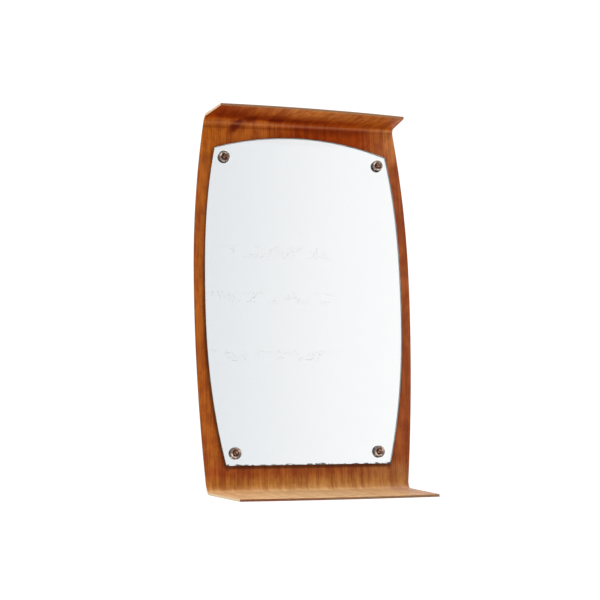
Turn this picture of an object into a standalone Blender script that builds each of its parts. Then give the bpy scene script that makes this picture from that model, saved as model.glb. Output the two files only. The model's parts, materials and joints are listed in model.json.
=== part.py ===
"""Wall mirror in a bent plywood shell: canopy above, shelf below, glass held by four cup-washer screws.

Units are metres, +Z is up, the object faces -Y. The wall is the plane Y = 0, and the origin is on it,
on the centre line, halfway between the two inside corners where the shell bends.
"""

from math import cos, hypot, pi, radians, sin, sqrt, tan

import bmesh
import bpy
from mathutils import Matrix

# Gaps between pieces that touch
GAP = 0.0003
GLUE_GAP = 0.0002
COAT_GAP = 0.0001

# Plywood shell
WALL_GAP = 0.006
INNER_HEIGHT = 0.663
WIDEST_HALF_WIDTH = 0.200
WIDEST_HEIGHT = 0.046
UPPER_SIDE_RADIUS = 1.93
LOWER_SIDE_RADIUS = 3.78
CANOPY_DEPTH = 0.0907
CANOPY_DROOP = radians(6.8)
CANOPY_FRONT_HALF_WIDTH = 0.1677
SHELF_DEPTH = 0.1772
SHELF_DROP = radians(4.4)
SHELF_FRONT_HALF_WIDTH = 0.1652
CANOPY_BEND_RADIUS = 0.010
SHELF_BEND_RADIUS = 0.014
FRONT_BOW = 0.009
BEND_STEPS = 18
SIDE_STEPS = 30
BOW_STEPS = 9
VENEER_THICKNESS = 0.00055
PLY_THICKNESS = 0.0008
CORE_PLIES = 3

# Mirror glass, with a silver and paint coat on its back
GLASS_THICKNESS = 0.004
COAT_THICKNESS = 0.0003
GLASS_HALF_WIDTH = 0.1815
GLASS_WIDEST_HEIGHT = 0.028
GLASS_TOP = 0.3009
GLASS_BOTTOM = -0.2885
GLASS_TOP_RADIUS = 0.505
GLASS_SIDE_SAG_AT = 0.300
GLASS_UPPER_SIDE_SAG = 0.0318
GLASS_LOWER_SIDE_SAG = 0.0294
GLASS_SIDE_POWER = 2.38
GLASS_STEPS = 28

# The four fixings of the glass
UPPER_FIXING_HALF_SPACING = 0.1450
LOWER_FIXING_HALF_SPACING = 0.1296
LOWER_FIXING_SHIFT = -0.0030
UPPER_FIXING_HEIGHT = 0.2577
LOWER_FIXING_HEIGHT = -0.2676
SCREW_RADIUS = 0.0020
SCREW_HEAD_RADIUS = 0.0050
SCREW_HEAD_CONE = 0.0026
SCREW_HEAD_DOME = 0.0014
SCREW_DOME_SHARES = ((0.35, 0.88), (0.70, 0.50))
SCREW_END_CHAMFER = 0.0004
SLOT_WIDTH = 0.0011
SLOT_DEPTH = 0.0013
SLOT_ANGLES = {"upper_left": 32, "upper_right": -14, "lower_left": 68, "lower_right": 20}
CUP_RADIUS = 0.0105
CUP_HEIGHT = 0.0036
CUP_SHEET = 0.0008
CUP_RIM_STEPS = ((0.0024, 1.00), (0.0012, 0.90), (0.0004, 0.62), (0.0, 0.22))
CUP_MOUTH_CLEARANCE = 0.0007
SLEEVE_WALL = 0.0012
SPACER_RADIUS = 0.0080
SPACER_THICKNESS = 0.0010
BACK_WASHER_RADIUS = 0.0048
BACK_WASHER_THICKNESS = 0.0008
NUT_ACROSS_FLATS = 0.0070
NUT_THICKNESS = 0.0026
THREAD_BEYOND_NUT = 0.0007
ROUND_STEPS = 24

# Keyhole hanger plates and the pads that keep the shell off the wall
HANGER_HALF_SPACING = 0.120
HANGER_HEIGHT = 0.210
HANGER_LENGTH = 0.056
HANGER_WIDTH = 0.024
HANGER_SHEET = 0.0012
HANGER_BRIDGE = 0.026
HANGER_STEP = 0.004
HANGER_CORNER = 0.004
HANGER_SCREW_INSET = 0.006
KEYHOLE_RADIUS = 0.0048
KEYHOLE_SLOT_HALF_WIDTH = 0.0022
KEYHOLE_SLOT_RISE = 0.0085
KEYHOLE_DROP = 0.003
WOOD_SCREW_RADIUS = 0.0013
WOOD_SCREW_HEAD_RADIUS = 0.0028
WOOD_SCREW_HEAD_HEIGHT = 0.0014
WOOD_SCREW_REACH = 0.70
PAD_RADIUS = 0.009
PAD_EDGE = 0.001
PAD_HALF_SPACING = 0.145
PAD_HEIGHT = -0.300

# Sizes and planes that follow from those above
SHELL_THICKNESS = 2 * VENEER_THICKNESS + CORE_PLIES * PLY_THICKNESS + (CORE_PLIES + 1) * GLUE_GAP
BACK_Y = -WALL_GAP
FACE_Y = BACK_Y - SHELL_THICKNESS
SPACER_Y = FACE_Y - GAP
COAT_Y = SPACER_Y - SPACER_THICKNESS - GAP
GLASS_Y = COAT_Y - COAT_THICKNESS - COAT_GAP
GLASS_FRONT_Y = GLASS_Y - GLASS_THICKNESS
CUP_Y = GLASS_FRONT_Y - GAP
SCREW_HOLE_RADIUS = SCREW_RADIUS + GAP
SLEEVE_RADIUS = SCREW_HOLE_RADIUS + SLEEVE_WALL
GLASS_HOLE_RADIUS = SLEEVE_RADIUS + GAP
NUT_Y = BACK_Y + GAP + BACK_WASHER_THICKNESS + GAP
CUP_SEAT = (SCREW_HOLE_RADIUS + GAP, CUP_SHEET * 0.90)
CUP_MOUTH = (SCREW_HEAD_RADIUS + CUP_MOUTH_CLEARANCE, CUP_HEIGHT - CUP_SHEET * 0.25)
WOOD_SCREW_DEPTH = WOOD_SCREW_REACH * SHELL_THICKNESS

PARTS = "wall_mirror"
CUTTERS = "cutters"


def clear_scene():
    for obj in list(bpy.data.objects):
        bpy.data.objects.remove(obj, do_unlink=True)


def new_collection(name):
    collection = bpy.data.collections.new(name)
    bpy.context.scene.collection.children.link(collection)
    return collection


def material(name, color, roughness, metallic=0.0):
    made = bpy.data.materials.new(name)
    made.use_nodes = True
    made.diffuse_color = (*color, 1.0)
    shader = made.node_tree.nodes["Principled BSDF"]
    shader.inputs["Base Color"].default_value = (*color, 1.0)
    shader.inputs["Roughness"].default_value = roughness
    shader.inputs["Metallic"].default_value = metallic
    return made


def place(name, mesh, surface=None, location=(0, 0, 0), rotation=(0, 0, 0)):
    """Adds a mesh as a part, or as a hidden cutter when it has no surface material."""
    obj = bpy.data.objects.new(name, mesh)
    obj.location = location
    obj.rotation_euler = rotation
    if surface is None:
        bpy.data.collections[CUTTERS].objects.link(obj)
        obj.hide_render = True
        obj.display_type = "WIRE"
    else:
        bpy.data.collections[PARTS].objects.link(obj)
        mesh.materials.append(surface)
    return obj


def mesh_from(bm, name):
    mesh = bpy.data.meshes.new(name)
    bm.to_mesh(mesh)
    bm.free()
    return mesh


def cut(obj, cutter):
    modifier = obj.modifiers.new("cut_" + cutter.name, "BOOLEAN")
    modifier.operation = "DIFFERENCE"
    modifier.solver = "EXACT"
    modifier.object = cutter


def shade(obj, angle=35):
    """Shades round surfaces smooth and keeps the edges crisp."""
    obj.data.shade_smooth()
    obj.data.set_sharp_from_angle(angle=radians(angle))


def turned(name, profile, surface=None, location=(0, 0, 0), rotation=(pi / 2, 0, 0), closed=False):
    """Turns a profile of (radius, height) about the height axis, which points to -Y by default."""
    bm = bmesh.new()
    points = [bm.verts.new((radius, 0, height)) for radius, height in profile]
    pairs = list(zip(points, points[1:]))
    if closed:
        pairs.append((points[-1], points[0]))
    for pair in pairs:
        bm.edges.new(pair)
    obj = place(name, mesh_from(bm, name), surface, location, rotation)
    screw = obj.modifiers.new("turn", "SCREW")
    screw.steps = screw.render_steps = ROUND_STEPS
    screw.use_merge_vertices = True
    screw.merge_threshold = 0.00001
    screw.use_smooth_shade = True
    return obj


def ring(name, outer, inner, start, end, surface, location, rotation=(pi / 2, 0, 0)):
    """A washer or sleeve between two heights."""
    profile = [(outer, end), (outer, start), (inner, start), (inner, end)]
    return turned(name, profile, surface, location, rotation, closed=True)


def drill(name, radius, points, front_y, back_y):
    """One cutter with a cylinder along Y at each (x, z) point."""
    bm = bmesh.new()
    for x, z in points:
        made = bmesh.ops.create_cone(
            bm, cap_ends=True, segments=ROUND_STEPS, radius1=radius, radius2=radius, depth=back_y - front_y
        )
        bmesh.ops.rotate(bm, verts=made["verts"], matrix=Matrix.Rotation(pi / 2, 3, "X"))
        bmesh.ops.translate(bm, verts=made["verts"], vec=(x, (front_y + back_y) / 2, z))
    return place(name, mesh_from(bm, name))


def outline_solid(name, points, thickness, surface=None, location=(0, 0, 0)):
    """A flat outline of (x, z) points, filled and extruded along Y about its location."""
    curve = bpy.data.curves.new(name, "CURVE")
    curve.dimensions = "2D"
    curve.fill_mode = "BOTH"
    curve.extrude = thickness / 2
    spline = curve.splines.new("POLY")
    spline.points.add(len(points) - 1)
    for point, (x, z) in zip(spline.points, points):
        point.co = (x, z, 0, 1)
    spline.use_cyclic_u = True
    guide = bpy.data.objects.new(name + "_outline", curve)
    bpy.context.scene.collection.objects.link(guide)
    graph = bpy.context.evaluated_depsgraph_get()
    mesh = bpy.data.meshes.new_from_object(guide.evaluated_get(graph))
    bpy.data.objects.remove(guide)
    bm = bmesh.new()
    bm.from_mesh(mesh)
    bmesh.ops.remove_doubles(bm, verts=bm.verts, dist=0.00001)
    bmesh.ops.recalc_face_normals(bm, faces=bm.faces)
    bm.to_mesh(mesh)
    bm.free()
    return place(name, mesh, surface, location, (pi / 2, 0, 0))


def side_half_width(height):
    """Half width of the panel: two arcs that meet at the widest line with a common tangent."""
    rise = height - WIDEST_HEIGHT
    radius = UPPER_SIDE_RADIUS if rise > 0 else LOWER_SIDE_RADIUS
    return WIDEST_HALF_WIDTH - radius + sqrt(radius**2 - rise**2)


def leaf_stations(leaf, depth):
    """(y, z, half width) at a depth behind the face: the panel's tangent line, the bend, the front edge.

    A leaf is the canopy or the shelf. It leaves the panel upwards (+1) or downwards (-1) from its inside
    corner, turns through its bend, and runs straight to the front, falling by its slope.
    """
    direction, slope, reach_forward, front_half_width, bend_radius = leaf
    turn = pi / 2 + direction * slope
    tangent = bend_radius * tan(turn / 2)
    tangent_z = direction * (INNER_HEIGHT / 2 - tangent)
    reach = reach_forward / cos(slope) - tangent
    radius = bend_radius + depth
    points = []
    for step in range(BEND_STEPS + 1):
        angle = direction * turn * step / BEND_STEPS
        points.append((FACE_Y - bend_radius + radius * cos(angle), tangent_z + radius * sin(angle)))
    last_y, last_z = points[-1]
    points.append((last_y - reach * cos(slope), last_z - reach * sin(slope)))
    arc = bend_radius * turn
    along = [arc * step / BEND_STEPS for step in range(BEND_STEPS + 1)] + [arc + reach]
    wide = side_half_width(tangent_z)
    return [
        (y, z, wide + (front_half_width - wide) * travelled / along[-1])
        for (y, z), travelled in zip(points, along)
    ]


def sheet_stations(depth):
    """(y, z, half width) along the sheet from the canopy's front edge to the shelf's."""
    canopy = leaf_stations(
        (1, CANOPY_DROOP, CANOPY_DEPTH, CANOPY_FRONT_HALF_WIDTH, CANOPY_BEND_RADIUS), depth
    )
    shelf = leaf_stations((-1, SHELF_DROP, SHELF_DEPTH, SHELF_FRONT_HALF_WIDTH, SHELF_BEND_RADIUS), depth)
    top, bottom = canopy[0][1], shelf[0][1]
    panel = []
    for step in range(1, SIDE_STEPS):
        z = top + (bottom - top) * step / SIDE_STEPS
        panel.append((FACE_Y + depth, z, side_half_width(z)))
    return canopy[::-1] + panel + shelf


def bow_front(centre, inner, corner):
    """Bows a leaf's front edge outwards between its centre point and its corner, in the leaf's own plane."""
    ahead = (centre.co - inner.co).normalized() * FRONT_BOW
    half_width = corner.co.x
    along = [centre]
    for left in range(BOW_STEPS, 1, -1):
        straight = next(edge for edge in along[-1].link_edges if edge.other_vert(along[-1]) == corner)
        _, vert = bmesh.utils.edge_split(straight, along[-1], 1 / left)
        along.append(vert)
    for vert in along:
        vert.co += ahead * (1 - (vert.co.x / half_width) ** 2)


def sheet(name, depth, thickness, surface, holes):
    """One ply: half an open sheet, mirrored, given its thickness and drilled."""
    stations = sheet_stations(depth)
    bm = bmesh.new()
    spine = [bm.verts.new((0, y, z)) for y, z, _ in stations]
    edges = [bm.edges.new(pair) for pair in zip(spine, spine[1:])]
    made = bmesh.ops.extrude_edge_only(bm, edges=edges)
    rim = [item for item in made["geom"] if isinstance(item, bmesh.types.BMVert)]
    half_width_at = {vert: half for vert, (_, _, half) in zip(spine, stations)}
    corner_of = {}
    for vert in rim:
        partners = (edge.other_vert(vert) for edge in vert.link_edges)
        partner = next(other for other in partners if other in half_width_at)
        vert.co.x = half_width_at[partner]
        corner_of[partner] = vert
    bmesh.ops.recalc_face_normals(bm, faces=bm.faces)
    panel_face = max(bm.faces, key=lambda face: face.calc_area() * abs(face.normal.z))
    if panel_face.normal.z < 0:
        bmesh.ops.reverse_faces(bm, faces=bm.faces)
    bow_front(spine[0], spine[1], corner_of[spine[0]])
    bow_front(spine[-1], spine[-2], corner_of[spine[-1]])
    obj = place(name, mesh_from(bm, name), surface)
    mirror = obj.modifiers.new("other_half", "MIRROR")
    mirror.merge_threshold = 0.00001
    solid = obj.modifiers.new("thickness", "SOLIDIFY")
    solid.thickness = thickness
    solid.offset = -1
    solid.use_even_offset = True
    for hole in holes:
        cut(obj, hole)
    return obj


def fixing_points():
    """(x, z) of the four fixings of the glass."""
    left = LOWER_FIXING_SHIFT - LOWER_FIXING_HALF_SPACING
    right = LOWER_FIXING_SHIFT + LOWER_FIXING_HALF_SPACING
    return {
        "upper_left": (-UPPER_FIXING_HALF_SPACING, UPPER_FIXING_HEIGHT),
        "upper_right": (UPPER_FIXING_HALF_SPACING, UPPER_FIXING_HEIGHT),
        "lower_left": (left, LOWER_FIXING_HEIGHT),
        "lower_right": (right, LOWER_FIXING_HEIGHT),
    }


def hanger_points():
    """(x, z) of the centre of each hanger plate."""
    return {
        "left": (-HANGER_HALF_SPACING, HANGER_HEIGHT),
        "right": (HANGER_HALF_SPACING, HANGER_HEIGHT),
    }


def hanger_screw_points():
    """(x, z) of the two screws of each hanger plate."""
    offset = HANGER_LENGTH / 2 - HANGER_SCREW_INSET
    points = {}
    for side, (x, z) in hanger_points().items():
        points[side + "_outer"] = (x + (offset if x > 0 else -offset), z)
        points[side + "_inner"] = (x - (offset if x > 0 else -offset), z)
    return points


def shell(teak, core, screw_holes):
    """Face veneer, core plies and back veneer, with glue-line gaps between them."""
    pilot_front = BACK_Y - WOOD_SCREW_DEPTH - GAP
    pilot_holes = drill(
        "pilot_holes", WOOD_SCREW_RADIUS + GAP, hanger_screw_points().values(), pilot_front, BACK_Y + 0.001
    )
    layers = [("face_veneer", VENEER_THICKNESS, teak)]
    layers += [(f"core_ply_{number + 1}", PLY_THICKNESS, core) for number in range(CORE_PLIES)]
    layers += [("back_veneer", VENEER_THICKNESS, teak)]
    depth = 0
    for name, thickness, surface in layers:
        reached = FACE_Y + depth + thickness > pilot_front
        holes = [screw_holes, pilot_holes] if reached else [screw_holes]
        sheet(name, depth, thickness, surface, holes)
        depth += thickness + GLUE_GAP


def glass_outline():
    """(x, z) round the glass, from the lower right corner upwards: bowed sides and top, flat bottom."""

    def side(z):
        rise = z - GLASS_WIDEST_HEIGHT
        sag = GLASS_UPPER_SIDE_SAG if rise > 0 else GLASS_LOWER_SIDE_SAG
        return GLASS_HALF_WIDTH - sag * (abs(rise) / GLASS_SIDE_SAG_AT) ** GLASS_SIDE_POWER

    def top(x):
        return GLASS_TOP - GLASS_TOP_RADIUS + sqrt(GLASS_TOP_RADIUS**2 - x**2)

    corner_x = side(GLASS_TOP)
    for _ in range(20):
        corner_x = side(top(corner_x))
    corner_z = top(corner_x)
    right = [
        (side(z), z)
        for z in (
            GLASS_BOTTOM + (corner_z - GLASS_BOTTOM) * step / GLASS_STEPS for step in range(GLASS_STEPS)
        )
    ]
    over = [
        (x, top(x)) for x in (corner_x * (1 - 2 * step / GLASS_STEPS) for step in range(GLASS_STEPS))
    ]
    left = [(-x, z) for x, z in reversed(right)]
    return right + over + [(-corner_x, corner_z)] + left


def glazing(glass, silver):
    """The glass and the silver coat on its back, drilled for the sleeves."""
    points = fixing_points().values()
    holes = drill("glass_holes", GLASS_HOLE_RADIUS, points, GLASS_FRONT_Y - 0.001, SPACER_Y)
    outline = glass_outline()
    pane = outline_solid(
        "mirror_glass", outline, GLASS_THICKNESS, glass, (0, GLASS_Y - GLASS_THICKNESS / 2, 0)
    )
    coat = outline_solid(
        "silver_coat", outline, COAT_THICKNESS, silver, (0, COAT_Y - COAT_THICKNESS / 2, 0)
    )
    cut(pane, holes)
    cut(coat, holes)


def cup_profile():
    """Half section of a stamped cup washer: rolled rim outside, cone seat inside, hollow below."""
    seat_radius, _ = CUP_SEAT
    mouth_radius, _ = CUP_MOUTH
    rim = [(CUP_RADIUS - inset, CUP_HEIGHT * share) for inset, share in CUP_RIM_STEPS]
    crown_radius, _ = rim[0]
    foot_radius = CUP_RADIUS - CUP_SHEET
    hollow = [
        (CUP_RADIUS, 0),
        (foot_radius, 0),
        (foot_radius - GLUE_GAP, CUP_HEIGHT * 0.45),
        (crown_radius, CUP_HEIGHT - CUP_SHEET),
        (mouth_radius + GLUE_GAP, CUP_HEIGHT - CUP_SHEET * 1.35),
        (seat_radius, 0),
    ]
    return rim + hollow + [CUP_SEAT, CUP_MOUTH]


def head_seat_height():
    """Height above the cup's foot at which the screw head's cone has run down to the shank."""
    seat_radius, seat_height = CUP_SEAT
    mouth_radius, mouth_height = CUP_MOUTH
    slope = (mouth_height - seat_height) / (mouth_radius - seat_radius)
    clear = GAP * hypot(1, slope)
    at_head = seat_height + (SCREW_HEAD_RADIUS - seat_radius) * slope + clear
    return at_head - SCREW_HEAD_CONE


def screw(name, x, z, slot_angle, steel, slot_cutter):
    """Slotted raised-head machine screw, its head in the cup and its end just past the nut."""
    foot = head_seat_height()
    head = foot + SCREW_HEAD_CONE
    end = -(NUT_Y + NUT_THICKNESS + THREAD_BEYOND_NUT - CUP_Y)
    dome = [
        (SCREW_HEAD_RADIUS * out, head + SCREW_HEAD_DOME * rise) for out, rise in SCREW_DOME_SHARES
    ]
    shank = [
        (SCREW_HEAD_RADIUS, head),
        (SCREW_RADIUS, foot),
        (SCREW_RADIUS, end + SCREW_END_CHAMFER),
        (SCREW_RADIUS - SCREW_END_CHAMFER, end),
        (0, end),
    ]
    obj = turned(name, [(0, head + SCREW_HEAD_DOME)] + dome + shank, steel, (x, CUP_Y, z))
    slot = place(
        name + "_slot", slot_cutter, None, (x, CUP_Y - head - SCREW_HEAD_DOME, z), (0, radians(slot_angle), 0)
    )
    cut(obj, slot)


def box_mesh(name, size):
    bm = bmesh.new()
    bmesh.ops.create_cube(bm, size=1)
    bmesh.ops.scale(bm, verts=bm.verts, vec=size)
    return mesh_from(bm, name)


def nut(name, x, z, steel):
    """Hexagon nut with its bore."""
    bm = bmesh.new()
    radius = NUT_ACROSS_FLATS / 2 / cos(pi / 6)
    bmesh.ops.create_cone(
        bm, cap_ends=True, segments=6, radius1=radius, radius2=radius, depth=NUT_THICKNESS
    )
    centre_y = NUT_Y + NUT_THICKNESS / 2
    obj = place(name, mesh_from(bm, name), steel, (x, centre_y, z), (pi / 2, 0, 0))
    bore = drill(name + "_bore", SCREW_HOLE_RADIUS, [(x, z)], NUT_Y - 0.001, NUT_Y + NUT_THICKNESS + 0.001)
    cut(obj, bore)


def fixings(metals, rubber):
    """Everything that holds the glass, at each of its four corners."""
    brass, steel = metals
    slot_cutter = box_mesh("slot", (SCREW_HEAD_RADIUS * 3, SLOT_DEPTH * 2, SLOT_WIDTH))
    sleeve_start = -(COAT_Y - GAP - CUP_Y)
    for corner, (x, z) in fixing_points().items():
        at_cup = (x, CUP_Y, z)
        turned("cup_washer_" + corner, cup_profile(), brass, at_cup, closed=True)
        screw("mirror_screw_" + corner, x, z, SLOT_ANGLES[corner], steel, slot_cutter)
        ring("hole_sleeve_" + corner, SLEEVE_RADIUS, SCREW_HOLE_RADIUS, sleeve_start, -GAP, rubber, at_cup)
        at_spacer = (x, SPACER_Y, z)
        ring("spacer_" + corner, SPACER_RADIUS, SCREW_HOLE_RADIUS, 0, SPACER_THICKNESS, rubber, at_spacer)
        at_washer = (x, BACK_Y + GAP, z)
        ring(
            "back_washer_" + corner, BACK_WASHER_RADIUS, SCREW_HOLE_RADIUS,
            -BACK_WASHER_THICKNESS, 0, steel, at_washer,
        )
        nut("screw_nut_" + corner, x, z, steel)


def hanger(name, x, z, steel, cutters):
    """A strip with two feet on the shell and a raised bridge against the wall, with a keyhole in it."""
    half = HANGER_LENGTH / 2
    bridge = HANGER_BRIDGE / 2
    foot_y = BACK_Y + GAP
    wall_side_y = -HANGER_SHEET
    profile = [
        (-half, foot_y), (-bridge - HANGER_STEP, foot_y), (-bridge, wall_side_y),
        (bridge, wall_side_y), (bridge + HANGER_STEP, foot_y), (half, foot_y),
    ]
    bm = bmesh.new()
    low = -HANGER_WIDTH / 2
    points = [bm.verts.new((px, py, low)) for px, py in profile]
    edges = [bm.edges.new(pair) for pair in zip(points, points[1:])]
    made = bmesh.ops.extrude_edge_only(bm, edges=edges)
    upper = [item for item in made["geom"] if isinstance(item, bmesh.types.BMVert)]
    bmesh.ops.translate(bm, verts=upper, vec=(0, 0, HANGER_WIDTH))
    corners = [vert for vert in bm.verts if abs(abs(vert.co.x) - half) < 1e-6]
    bmesh.ops.bevel(bm, geom=corners, offset=HANGER_CORNER, segments=4, profile=0.5, affect="VERTICES")
    bmesh.ops.recalc_face_normals(bm, faces=bm.faces)
    if sum(face.normal.y * face.calc_area() for face in bm.faces) < 0:
        bmesh.ops.reverse_faces(bm, faces=bm.faces)
    obj = place(name, mesh_from(bm, name), steel, (x, 0, z))
    solid = obj.modifiers.new("thickness", "SOLIDIFY")
    solid.thickness = HANGER_SHEET
    solid.offset = 1
    solid.use_even_offset = True
    for cutter in cutters:
        cut(obj, cutter)


def keyhole_cutters(name, x, z):
    """Round entry below and a narrow slot above it."""
    entry_z = z - KEYHOLE_DROP
    through = (BACK_Y, 0.001)
    entry = drill(name + "_entry", KEYHOLE_RADIUS, [(x, entry_z)], *through)
    top = drill(name + "_seat", KEYHOLE_SLOT_HALF_WIDTH, [(x, entry_z + KEYHOLE_SLOT_RISE)], *through)
    size = (2 * KEYHOLE_SLOT_HALF_WIDTH, through[1] - through[0], KEYHOLE_SLOT_RISE)
    neck_at = (x, sum(through) / 2, entry_z + KEYHOLE_SLOT_RISE / 2)
    neck = place(name + "_neck", box_mesh("neck", size), None, neck_at)
    return [entry, neck, top]


def wood_screw(name, x, z, steel):
    """Short pan-head screw that holds a hanger foot to the shell."""
    foot_back = BACK_Y + GAP + HANGER_SHEET + GAP
    shank = foot_back - BACK_Y + WOOD_SCREW_DEPTH
    profile = [
        (0, WOOD_SCREW_HEAD_HEIGHT),
        (WOOD_SCREW_HEAD_RADIUS * 0.7, WOOD_SCREW_HEAD_HEIGHT),
        (WOOD_SCREW_HEAD_RADIUS, WOOD_SCREW_HEAD_HEIGHT * 0.4),
        (WOOD_SCREW_HEAD_RADIUS, 0),
        (WOOD_SCREW_RADIUS, 0),
        (WOOD_SCREW_RADIUS, -shank * 0.7),
        (0, -shank),
    ]
    turned(name, profile, steel, (x, foot_back, z), (-pi / 2, 0, 0))


def hanging_gear(steel):
    """Two keyhole hangers, each on two wood screws."""
    screw_points = hanger_screw_points()
    for side, (x, z) in hanger_points().items():
        feet = [point for corner, point in screw_points.items() if corner.startswith(side)]
        foot_holes = drill("hanger_holes_" + side, WOOD_SCREW_RADIUS + GAP, feet, BACK_Y - 0.001, 0)
        cutters = keyhole_cutters("keyhole_" + side, x, z) + [foot_holes]
        hanger("hanger_plate_" + side, x, z, steel, cutters)
    for corner, (x, z) in screw_points.items():
        wood_screw("hanger_screw_" + corner, x, z, steel)


def wall_pads(felt):
    """Pads on the back near the shelf, as thick as the gap to the wall."""
    thickness = WALL_GAP - GAP
    profile = [
        (0, thickness),
        (PAD_RADIUS - PAD_EDGE, thickness),
        (PAD_RADIUS, thickness - PAD_EDGE),
        (PAD_RADIUS, 0),
        (0, 0),
    ]
    for side, x in (("left", -PAD_HALF_SPACING), ("right", PAD_HALF_SPACING)):
        turned("wall_pad_" + side, profile, felt, (x, BACK_Y + GAP, PAD_HEIGHT), (-pi / 2, 0, 0))


def main():
    clear_scene()
    new_collection(PARTS)
    new_collection(CUTTERS)
    teak = material("teak_veneer", (0.36, 0.13, 0.035), 0.45)
    core = material("birch_core", (0.72, 0.50, 0.30), 0.60)
    glass = material("mirror_glass", (0.85, 0.90, 0.88), 0.02)
    silver = material("silver_coat", (0.80, 0.82, 0.83), 0.05, 1.0)
    brass = material("aged_nickel", (0.42, 0.36, 0.32), 0.35, 1.0)
    steel = material("zinc_plated_steel", (0.55, 0.55, 0.54), 0.40, 1.0)
    rubber = material("soft_vinyl", (0.30, 0.29, 0.27), 0.70)
    felt = material("felt", (0.16, 0.13, 0.10), 0.95)
    screw_holes = drill(
        "screw_holes", SCREW_HOLE_RADIUS, fixing_points().values(), FACE_Y - 0.001, BACK_Y + 0.001
    )
    shell(teak, core, screw_holes)
    glazing(glass, silver)
    fixings((brass, steel), rubber)
    hanging_gear(steel)
    wall_pads(felt)
    for obj in bpy.data.collections[PARTS].objects:
        shade(obj)


main()
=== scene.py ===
# %% [markdown]
# # A wall mirror in a bent teak plywood shell
# The real thing is one sheet of plywood, five layers thick, pressed over a form while its glue was wet.
# It leaves the press with a canopy at the top and a shelf at the bottom. A pane of mirror glass stands
# a millimetre off the face on soft spacers, and four slotted screws in cup washers hold its corners.
# The script loads the measured model, keeps every piece where it is, and gives each one its fine shape
# and its finish.

# %% Load the frame
import json
from math import cos, pi, radians, sin, sqrt, tau

import bmesh
import bpy
from mathutils import Matrix, Vector

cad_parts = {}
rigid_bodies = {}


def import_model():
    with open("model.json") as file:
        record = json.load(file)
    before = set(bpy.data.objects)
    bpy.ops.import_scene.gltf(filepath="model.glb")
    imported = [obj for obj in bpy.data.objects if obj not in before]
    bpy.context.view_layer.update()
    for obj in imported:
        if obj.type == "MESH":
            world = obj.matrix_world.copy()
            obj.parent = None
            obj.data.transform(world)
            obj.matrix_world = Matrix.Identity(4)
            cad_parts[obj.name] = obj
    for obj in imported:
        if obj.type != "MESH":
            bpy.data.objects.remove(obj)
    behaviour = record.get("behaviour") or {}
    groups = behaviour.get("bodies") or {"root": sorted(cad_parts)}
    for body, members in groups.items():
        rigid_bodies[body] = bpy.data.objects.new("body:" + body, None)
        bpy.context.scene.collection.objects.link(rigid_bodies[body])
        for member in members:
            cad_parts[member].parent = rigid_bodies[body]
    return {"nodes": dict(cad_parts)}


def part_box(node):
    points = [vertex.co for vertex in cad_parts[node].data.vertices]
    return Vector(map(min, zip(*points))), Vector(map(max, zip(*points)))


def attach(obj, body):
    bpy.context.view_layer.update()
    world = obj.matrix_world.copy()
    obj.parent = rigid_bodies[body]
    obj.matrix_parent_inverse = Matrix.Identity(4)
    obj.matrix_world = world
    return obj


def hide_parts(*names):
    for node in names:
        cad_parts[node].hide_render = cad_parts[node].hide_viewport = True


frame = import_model()
scene = bpy.context.scene
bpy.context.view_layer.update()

# %% [markdown]
# ## Planes to work from
# Blender works in metres, and a maker thinks in millimetres, so one name turns one into the other.
# The wall is the plane Y = 0 and the face looks towards -Y. The planes that the finishes need are read
# from the boxes of the pieces, so they follow the model if its sizes change.

# %% Planes and sizes
MM = 0.001
CORNERS = ("upper_left", "upper_right", "lower_left", "lower_right")
SIDES = ("left", "right")
PLIES = ("face_veneer", "core_ply_1", "core_ply_2", "core_ply_3", "back_veneer")

pane_low, pane_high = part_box("mirror_glass")
REST_GAP = 0.3 * MM
FACE_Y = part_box("spacer_upper_left")[1].y + REST_GAP
pane_points = [vert.co for vert in frame["nodes"]["mirror_glass"].data.vertices]
FOOT_HALF = max(point.x for point in pane_points if point.z < pane_low.z + 1 * MM)
print("face at y =", round(FACE_Y, 4), "glass at y =", round(pane_low.y, 4), "to", round(pane_high.y, 4))


# %% [markdown]
# ## One way to add a node
# A material is a small graph. Typing out each node takes three lines: make it, set it, link it. This one
# function does all three. An input that is itself a socket gets linked, and anything else is set. The
# short functions after it are for the nodes that come up most.

# %% Helper: add a node
MIX_FACTOR, MIX_A, MIX_B, MIX_OUT = 0, 6, 7, 2


def add(tree, kind, inputs=None, **settings):
    made = tree.nodes.new("ShaderNode" + kind)
    for name, value in settings.items():
        setattr(made, name, value)
    for name, value in (inputs or {}).items():
        if isinstance(value, bpy.types.NodeSocket):
            tree.links.new(value, made.inputs[name])
        else:
            made.inputs[name].default_value = value
    return made


def maths(tree, way, *values):
    """One step of arithmetic on the values."""
    return add(tree, "Math", dict(enumerate(values)), operation=way).outputs[0]


def times(tree, one, other):
    return maths(tree, "MULTIPLY", one, other)


def split(tree, vector):
    """The X, Y and Z of a vector."""
    return add(tree, "SeparateXYZ", {0: vector}).outputs


def facing(tree):
    """Which way the surface looks, as X, Y and Z."""
    return split(tree, add(tree, "NewGeometry").outputs["True Normal"])


# %% [markdown]
# Colours are written as they look on a screen, in hex. The shader wants linear light, so one function
# does the sum that the sRGB standard gives.

# %% Helper: a hex colour as linear light
def colour(hex_text):
    channels = [int(hex_text[at:at + 2], 16) / 255 for at in (1, 3, 5)]
    linear = [c / 12.92 if c <= 0.04045 else ((c + 0.055) / 1.055) ** 2.4 for c in channels]
    return (*linear, 1.0)


print("teak as linear light:", [round(c, 3) for c in colour("#A5581C")])


# %% Helper: start a material, finish a material
def begin(name):
    """An empty material, its graph, and the place in metres of each point that it colours."""
    material = bpy.data.materials.new(name)
    material.use_nodes = True
    tree = material.node_tree
    tree.nodes.clear()
    place = add(tree, "TexCoord").outputs["Object"]
    return material, tree, place


def finish_with(tree, inputs):
    shader = add(tree, "BsdfPrincipled", inputs)
    add(tree, "OutputMaterial", {"Surface": shader.outputs[0]})


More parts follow.
